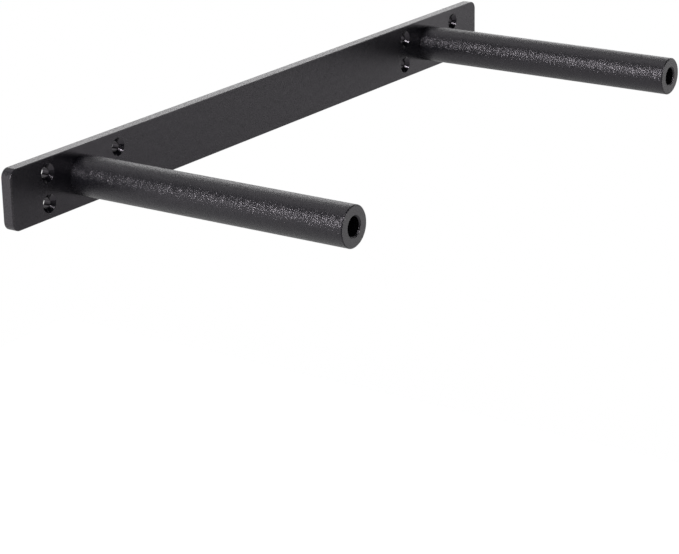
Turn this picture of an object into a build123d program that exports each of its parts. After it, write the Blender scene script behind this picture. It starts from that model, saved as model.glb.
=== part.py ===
from build123d import *
import os
from math import radians, tan

# A floating shelf bracket in steel. A flat bar screws to the wall, and two hollow rods
# stand square out of it and slide into holes bored in the back edge of the shelf.
# The origin is the centre of the bar's back face, on the wall. X runs along the bar,
# Z is up, and the wall is on the +Y side. All sizes are in millimetres.

# The bar
bar_length = 457.2
bar_height = 33.3
bar_thickness = 6.35
bar_corner_radius = 5.0
bar_edge_radius = 0.4

# The rods
rod_inset = 57.15  # from each end of the bar to the rod's axis
rod_diameter = 22.2
rod_bore = 10.4
rod_reach = 171.45  # from the bar's front face to the tip
rod_tip_chamfer = 0.6
bore_chamfer = 0.8

# The joint: a tenon turned on each rod, in a socket of the bar, welded from behind
tenon_diameter = 18.0
socket_clearance = 0.1  # all round the tenon
weld_width = 2.5
weld_bevel_angle = 90.0  # between opposite sides of the bevelled groove

# The screw holes, four round each rod
screw_hole = 6.0
screw_head = 10.2
screw_head_angle = 90.0
screw_spacing_along = 57.15
screw_spacing_up = 16.5

# Sizes that follow from those above
rod_spacing = bar_length - 2 * rod_inset
rod_radius = rod_diameter / 2
bore_radius = rod_bore / 2
tenon_radius = tenon_diameter / 2
socket_radius = tenon_radius + socket_clearance
groove_radius = socket_radius + weld_width
groove_depth = weld_width / tan(radians(weld_bevel_angle / 2))
tip_y = -bar_thickness - rod_reach

wall_face = Plane(origin=(0, 0, 0), x_dir=(-1, 0, 0), z_dir=(0, 1, 0))
front_face = Plane(origin=(0, -bar_thickness, 0), x_dir=(1, 0, 0), z_dir=(0, -1, 0))

os.makedirs("parts", exist_ok=True)

# The bar, with softened edges, two sockets bevelled at the back, and the screw holes
with BuildPart() as back_plate:
    with BuildSketch(front_face):
        RectangleRounded(bar_length, bar_height, bar_corner_radius)
    extrude(amount=-bar_thickness)
    fillet(back_plate.faces().filter_by(Axis.Y).edges(), bar_edge_radius)
    with Locations(wall_face):
        with GridLocations(rod_spacing, 0, 2, 1):
            CounterSinkHole(socket_radius, groove_radius, counter_sink_angle=weld_bevel_angle)
    with Locations(front_face):
        with GridLocations(rod_spacing, 0, 2, 1):
            with GridLocations(screw_spacing_along, screw_spacing_up, 2, 2):
                CounterSinkHole(screw_hole / 2, screw_head / 2, counter_sink_angle=screw_head_angle)
back_plate.part.label = "back_plate"
export_step(back_plate.part, "parts/back_plate.step")

for side, rod_x in (("left", -rod_spacing / 2), ("right", rod_spacing / 2)):
    section_plane = Plane(origin=(rod_x, 0, 0), x_dir=(1, 0, 0), z_dir=(0, 0, 1))
    rod_axis = Axis(origin=(rod_x, 0, 0), direction=(0, 1, 0))

    # The rod, turned: its tenon reaches the wall face, and its shoulder seats on the bar
    with BuildPart() as rod:
        with BuildSketch(section_plane):
            with BuildLine():
                Polyline(
                    (bore_radius, 0),
                    (tenon_radius, 0),
                    (tenon_radius, -bar_thickness),
                    (rod_radius, -bar_thickness),
                    (rod_radius, tip_y + rod_tip_chamfer),
                    (rod_radius - rod_tip_chamfer, tip_y),
                    (bore_radius + bore_chamfer, tip_y),
                    (bore_radius, tip_y + bore_chamfer),
                    close=True,
                )
            make_face()
        revolve(axis=rod_axis)
    rod.part.label = f"{side}_rod"
    export_step(rod.part, f"parts/{side}_rod.step")

    # The weld fills the groove round the tenon and is ground flush with the wall face
    with BuildPart() as weld:
        with BuildSketch(section_plane):
            with BuildLine():
                Polyline(
                    (tenon_radius, 0),
                    (groove_radius, 0),
                    (socket_radius, -groove_depth),
                    (tenon_radius, -groove_depth),
                    close=True,
                )
            make_face()
        revolve(axis=rod_axis)
    weld.part.label = f"{side}_weld"
    export_step(weld.part, f"parts/{side}_weld.step")
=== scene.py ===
import bpy
from math import cos, pi, radians, sin
from mathutils import Matrix, Vector

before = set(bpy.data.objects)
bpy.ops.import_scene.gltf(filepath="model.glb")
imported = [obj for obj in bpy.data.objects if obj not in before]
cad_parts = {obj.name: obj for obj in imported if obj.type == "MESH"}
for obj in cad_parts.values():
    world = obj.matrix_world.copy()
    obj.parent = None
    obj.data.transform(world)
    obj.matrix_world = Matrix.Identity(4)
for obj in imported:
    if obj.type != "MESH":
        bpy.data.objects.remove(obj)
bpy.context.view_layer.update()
print("frame loaded")

# camera, placed by matching the photograph's edges
camera = {
    "place": (-1.05891, -0.77751, 0.34855),
    "turn": 55.540,          # degrees from +Y towards +X
    "tilt": 19.264,          # degrees down
    "roll": 1.004,
    "lens": 122.316,
    "sensor": 36.0,
    "sees": (0.05, 60.0),    # metres, from nearest to farthest
}


def makeCamera(c):
    data = bpy.data.cameras.new("camera")
    data.lens = c["lens"]
    data.sensor_width = c["sensor"]
    data.clip_start, data.clip_end = c["sees"]
    cam = bpy.data.objects.new("camera", data)
    bpy.context.scene.collection.objects.link(cam)
    turn = Matrix.Rotation(radians(-c["turn"]), 4, "Z")
    tilt = Matrix.Rotation(radians(90 - c["tilt"]), 4, "X")
    roll = Matrix.Rotation(radians(-c["roll"]), 4, "Z")
    cam.matrix_world = Matrix.Translation(c["place"]) @ turn @ tilt @ roll
    bpy.context.scene.camera = cam


makeCamera(camera)
print("camera placed")


# sets a node's sockets to numbers or colours, or links other sockets to them
def feed(tree, node, values):
    for key, value in values.items():
        if isinstance(value, bpy.types.NodeSocket):
            tree.links.new(value, node.inputs[key])
        else:
            node.inputs[key].default_value = value


def addNode(tree, kind, values=None, **settings):
    node = tree.nodes.new(kind)
    for key, value in settings.items():
        setattr(node, key, value)
    feed(tree, node, values or {})
    return node


# one Math node
def calc(tree, operation, *values):
    node = addNode(tree, "ShaderNodeMath", dict(enumerate(values)), operation=operation)
    return node.outputs[0]


# from a to b by a mask, for numbers or colours
def mix(tree, kind, mask, a, b):
    node = addNode(tree, "ShaderNodeMix", {"Factor": mask}, data_type=kind)
    pair = [i for i, socket in enumerate(node.inputs) if socket.enabled and socket.name in "AB"]
    feed(tree, node, dict(zip(pair, (a, b))))
    return next(socket for socket in node.outputs if socket.enabled)


# a soft step, from 0 where it ends to its level where it is full
def fade(tree, value, end, full, level=1.0):
    step = addNode(
        tree, "ShaderNodeMapRange",
        {"Value": value, "From Min": end, "From Max": full, "To Max": level},
        interpolation_type="SMOOTHSTEP")
    return step.outputs["Result"]


noiseSpan = (0.3, 0.7)       # nearly all of a noise lies between these


# a noise, mapped onto a pair of values
def spread(tree, value, pair):
    span = addNode(tree, "ShaderNodeMapRange", {
        "Value": value, "From Min": noiseSpan[0], "From Max": noiseSpan[1],
        "To Min": pair[0], "To Max": pair[1]})
    return span.outputs["Result"]


# powder coat: tiny rounded grains on a faint orange peel, shared by every coated piece, with
# inputs that each coat sets anew
powder = {
    "inputs": {"Grain Size": 0.0007, "Peel Size": 0.004, "Peel Share": 0.3},
    "softness": 0.6,         # of the grains' edges
    "grainShare": 0.5,       # of the relief
    "dustDetail": 2.0,
    "peelDetail": 1.0,
    "driftDetail": 3.0,
    "driftScale": 22.0,      # of the slow change from dark to light paint
}


def makeGrainGroup(p):
    group = bpy.data.node_groups.new("powderGrain", "ShaderNodeTree")
    face = group.interface
    face.new_socket(name="Vector", in_out="INPUT", socket_type="NodeSocketVector")
    for name, value in p["inputs"].items():
        socket = face.new_socket(name=name, in_out="INPUT", socket_type="NodeSocketFloat")
        socket.default_value = value
    for name in ("Height", "Speck", "Patch"):
        face.new_socket(name=name, in_out="OUTPUT", socket_type="NodeSocketFloat")
    start = addNode(group, "NodeGroupInput").outputs
    place = start["Vector"]
    grainScale = calc(group, "DIVIDE", 1.0, start["Grain Size"])
    peelScale = calc(group, "DIVIDE", 1.0, start["Peel Size"])

    def noise(scale, detail):
        values = {"Vector": place, "Scale": scale, "Detail": detail}
        return addNode(group, "ShaderNodeTexNoise", values).outputs["Fac"]

    cells = addNode(
        group, "ShaderNodeTexVoronoi",
        {"Vector": place, "Scale": grainScale, "Smoothness": p["softness"]}, feature="SMOOTH_F1")
    dust = noise(grainScale, p["dustDetail"])
    peel = noise(peelScale, p["peelDetail"])
    drift = noise(p["driftScale"], p["driftDetail"])
    domes = calc(group, "SUBTRACT", 1.0, cells.outputs["Distance"])
    grains = calc(group, "ADD", domes, dust)
    peelRise = calc(group, "MULTIPLY", peel, start["Peel Share"])
    height = calc(group, "MULTIPLY_ADD", grains, p["grainShare"], peelRise)
    addNode(group, "NodeGroupOutput", {"Height": height, "Speck": dust, "Patch": drift})
    return group


powderGrain = makeGrainGroup(powder)

rodAxis = 0.17145            # of each rod, metres from the bar's middle

barCoat = {
    "dark": (0.0018, 0.0018, 0.0026, 1),
    "light": (0.0038, 0.0038, 0.0050, 1),
    "tint": (0.97, 0.89, 1.0, 1),      # of the sheen
    "roughness": (0.36, 0.26),         # from dull to bright specks
    "grain": 0.00050,
    "peel": 0.005,
    "peelShare": 1.0,
    "rise": 0.00006,                   # metres, of the whole relief
}

# round each rod's foot the coat is smoother
barFoot = {
    "full": 0.019,                     # metres off the rod's axis, where it is smoothest
    "end": 0.042,
    "roughness": (0.24, 0.15),
    "rise": 0.7,                       # times the coat's own relief, as in the areas below
}

# the bar's rims, where the coat is sandier, and painted a little lighter than the faces: painted
# sheen for the light the rims catch
barRim = {
    "halfLength": 0.2286,
    "halfHeight": 0.01665,
    "from": 0.994,                     # share of those sizes where a rim starts
    # painted sheen: a lighter grey standing in for the light the rims catch
    "paintAndSheen": (0.0145, 0.0140, 0.0150, 1),
    "roughness": (0.42, 0.12),
    "rise": 3.0,
}

# the screw holes, where the coat has flowed smooth and shines
screwHoles = {
    "along": 0.028575,                 # from the rod's axis
    "up": 0.00825,
    "radius": 0.00515,
    "roughness": (0.20, 0.14),
    "rise": 0.3,
}

# the rods' coat is sandier, and sparkles where a lamp catches it
rodCoat = dict(
    barCoat, tint=(0.98, 0.92, 1.0, 1), roughness=(0.35, 0.16), grain=0.00044, rise=0.00023)

# the rods' ends are turned flat, with tool rings and a smoother coat, and painted a lighter grey:
# painted sheen for the reflection the end faces catch
rodEnd = {
    "from": -0.17775,                  # the end starts here along Y
    "pitch": 0.0006,                   # of the rings that the tool left
    # painted sheen: a lighter grey standing in for the reflection the end faces catch
    "paintAndSheen": (0.071, 0.070, 0.072, 1),
    "roughness": (0.30, 0.26),
    "rise": 0.06,
}

# the welds behind are ground flush, and the grinding shows through the coat
weldCoat = dict(barCoat, roughness=(0.42, 0.26), peelShare=0.4, rise=0.00014)
grinding = {"length": 0.030, "pitch": 0.0007, "turn": 24, "detail": 2.0, "share": 0.9}


# how far a place is from an axis along Y, from its two offsets
def offAxis(tree, across, up):
    spoke = addNode(tree, "ShaderNodeCombineXYZ", {"X": across, "Z": up})
    length = addNode(tree, "ShaderNodeVectorMath", {0: spoke.outputs[0]}, operation="LENGTH")
    return length.outputs["Value"]


# how far a place is from the nearer rod's axis along the bar, less than 0 towards the middle
def acrossRod(tree, at):
    return calc(tree, "SUBTRACT", calc(tree, "ABSOLUTE", at["X"]), rodAxis)


def roundFoot(tree, at, a):
    return fade(tree, offAxis(tree, acrossRod(tree, at), at["Z"]), a["end"], a["full"])


def onRim(tree, at, a):
    along = calc(tree, "DIVIDE", calc(tree, "ABSOLUTE", at["X"]), a["halfLength"])
    up = calc(tree, "DIVIDE", calc(tree, "ABSOLUTE", at["Z"]), a["halfHeight"])
    return calc(tree, "GREATER_THAN", calc(tree, "MAXIMUM", along, up), a["from"])


def inScrewHole(tree, at, a):
    across = calc(tree, "SUBTRACT", calc(tree, "ABSOLUTE", acrossRod(tree, at)), a["along"])
    up = calc(tree, "SUBTRACT", calc(tree, "ABSOLUTE", at["Z"]), a["up"])
    return calc(tree, "LESS_THAN", offAxis(tree, across, up), a["radius"])


def onRodEnd(tree, at, a):
    return calc(tree, "LESS_THAN", at["Y"], a["from"])


def turnedRings(tree, at, a):
    fromAxis = offAxis(tree, acrossRod(tree, at), at["Z"])
    rings = addNode(
        tree, "ShaderNodeTexNoise", {"W": fromAxis, "Scale": 1 / a["pitch"]}, noise_dimensions="1D")
    return rings.outputs["Fac"]


def grindLines(tree, place, g):
    lay = addNode(tree, "ShaderNodeMapping", {
        "Vector": place,
        "Rotation": (0, radians(g["turn"]), 0),
        "Scale": (1 / g["length"], 1 / g["length"], 1 / g["pitch"]),
    })
    lines = addNode(
        tree, "ShaderNodeTexNoise", {"Vector": lay.outputs[0], "Scale": 1.0, "Detail": g["detail"]})
    return calc(tree, "MULTIPLY", lines.outputs["Fac"], g["share"])


# areas are pairs of a function that finds the area and its values
def makeCoat(name, c, areas=(), grind=None):
    mat = bpy.data.materials.new(name)
    mat.use_nodes = True
    tree = mat.node_tree
    place = addNode(tree, "ShaderNodeTexCoord").outputs["Object"]
    at = addNode(tree, "ShaderNodeSeparateXYZ", {0: place}).outputs
    grain = addNode(tree, "ShaderNodeGroup", node_tree=powderGrain)
    feed(tree, grain, {
        "Vector": place, "Grain Size": c["grain"],
        "Peel Size": c["peel"], "Peel Share": c["peelShare"]})
    speck, height = grain.outputs["Speck"], grain.outputs["Height"]
    # base colour: a slow random tone, with painted sheen added on some areas below
    paintAndSheen = mix(tree, "RGBA", grain.outputs["Patch"], c["dark"], c["light"])
    gloss = spread(tree, speck, c["roughness"])
    if grind:
        height = calc(tree, "ADD", height, grindLines(tree, place, grind))
    for findArea, a in areas:
        mask = findArea(tree, at, a)
        relief = turnedRings(tree, at, a) if "pitch" in a else height
        height = mix(tree, "FLOAT", mask, height, calc(tree, "MULTIPLY", relief, a["rise"]))
        gloss = mix(tree, "FLOAT", mask, gloss, spread(tree, speck, a["roughness"]))
        # an area's lighter paint is painted sheen (the bar's rims and the rods' ends)
        if "paintAndSheen" in a:
            paintAndSheen = mix(tree, "RGBA", mask, paintAndSheen, a["paintAndSheen"])
    bump = addNode(tree, "ShaderNodeBump", {"Distance": c["rise"], "Height": height})
    feed(tree, tree.nodes["Principled BSDF"], {
        "Base Color": paintAndSheen, "Roughness": gloss, "Specular Tint": c["tint"],
        "Normal": bump.outputs["Normal"]})
    return mat


coats = {
    "plate": makeCoat("barCoat", barCoat, areas=(
        (roundFoot, barFoot), (onRim, barRim), (inScrewHole, screwHoles))),
    "rod": makeCoat("rodCoat", rodCoat, areas=((onRodEnd, rodEnd),)),
    "weld": makeCoat("weldCoat", weldCoat, grind=grinding),
}
for name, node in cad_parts.items():
    node.data.materials.clear()
    node.data.materials.append(coats[name.split("_")[-1]])
print("coats laid")

# studio: a white sweep with soft patches that the coats mirror, and three soft boxes
white = (1, 1, 1, 1)
studio = {
    "floorDrop": 0.9,        # metres below the bar's middle
    "floorSize": 3.0,
    "floorColor": (0.68, 0.68, 0.68, 1),
    "floorRoughness": 0.9,
    "floorGlow": 0.66,       # added for the camera only, so that the lit floor is white
    "background": 1.0,       # for the camera only, too
}

# each patch's place is its turn from -Y towards +X and its rise, and full and end are its
# radii, all in degrees
sweepPatches = {
    "behindRight": {"turn": 127, "rise": 12, "full": 5, "end": 23, "level": 1.70},
    "highRight": {"turn": 139, "rise": 36, "full": 21, "end": 34, "level": 0.30},
    "right": {"turn": 74, "rise": 8, "full": 2, "end": 24, "level": 1.95},
    "frontRight": {"turn": 50, "rise": 3, "full": 9, "end": 26, "level": 1.64},
    "behindLeft": {"turn": -150, "rise": -18, "full": 21, "end": 34, "level": 0.46},
    "left": {"turn": -124, "rise": 6, "full": 17, "end": 31, "level": 0.85},
    "aboveBehind": {"turn": 183, "rise": 70, "full": 21, "end": 34, "level": 1.10},
    "below": {"turn": -127, "rise": -62, "full": 50, "end": 63, "level": 0.36},
    "behind": {"turn": 163, "rise": -12, "full": 12, "end": 40, "level": 0.90},
    "side": {"turn": 106, "rise": -15, "full": 10, "end": 27, "level": 0.90},
    "front": {"turn": -10, "rise": -12, "full": 12, "end": 38, "level": 0.80},
}

# reach and size are in metres, and light is what falls on the part
softBoxes = {
    "sideBox": {"turn": -94, "rise": 25, "reach": 5.0, "size": 0.85, "light": 2.8},
    "nearBox": {"turn": -82, "rise": 20, "reach": 1.0, "size": 0.24, "light": 1.4},
    "frontBox": {"turn": -20, "rise": 31, "reach": 2.6, "size": 0.50, "light": 1.1},
}


def heading(turn, rise):
    t, r = radians(turn), radians(rise)
    return Vector((cos(r) * sin(t), -cos(r) * cos(t), sin(r)))


def makeFloor(s):
    bpy.ops.mesh.primitive_plane_add(size=s["floorSize"], location=(0, 0, -s["floorDrop"]))
    floor = bpy.context.object
    floor.name = "floor"
    mat = bpy.data.materials.new("floorWhite")
    mat.use_nodes = True
    tree = mat.node_tree
    path = addNode(tree, "ShaderNodeLightPath")
    glow = calc(tree, "MULTIPLY", path.outputs["Is Camera Ray"], s["floorGlow"])
    feed(tree, tree.nodes["Principled BSDF"], {
        "Base Color": s["floorColor"], "Roughness": s["floorRoughness"],
        "Emission Color": white, "Emission Strength": glow})
    floor.data.materials.append(mat)


def makeSweep(s, patches):
    world = bpy.data.worlds.new("studio")
    world.use_nodes = True
    bpy.context.scene.world = world
    tree = world.node_tree
    way = addNode(tree, "ShaderNodeTexCoord").outputs["Generated"]
    light = 0.0
    for p in patches.values():
        near = addNode(
            tree, "ShaderNodeVectorMath", {0: way, 1: heading(p["turn"], p["rise"])},
            operation="DOT_PRODUCT").outputs["Value"]
        patch = fade(tree, near, cos(radians(p["end"])), cos(radians(p["full"])), p["level"])
        light = calc(tree, "ADD", light, patch)
    path = addNode(tree, "ShaderNodeLightPath")
    seen = mix(tree, "FLOAT", path.outputs["Is Camera Ray"], light, s["background"])
    feed(tree, tree.nodes["Background"], {"Color": white, "Strength": seen})


def makeSoftBox(name, b):
    data = bpy.data.lights.new(name, "AREA")
    data.shape, data.size = "DISK", b["size"]
    data.energy = b["light"] * pi * b["reach"] ** 2
    box = bpy.data.objects.new(name, data)
    bpy.context.scene.collection.objects.link(box)
    way = heading(b["turn"], b["rise"])
    facing = way.to_track_quat("Z", "Y").to_matrix().to_4x4()
    box.matrix_world = Matrix.Translation(way * b["reach"]) @ facing
    box.visible_camera = False


makeFloor(studio)
makeSweep(studio, sweepPatches)
for name, box in softBoxes.items():
    makeSoftBox(name, box)
print("studio lit")

bpy.context.scene.view_settings.view_transform = "Standard"

print("scene ready")
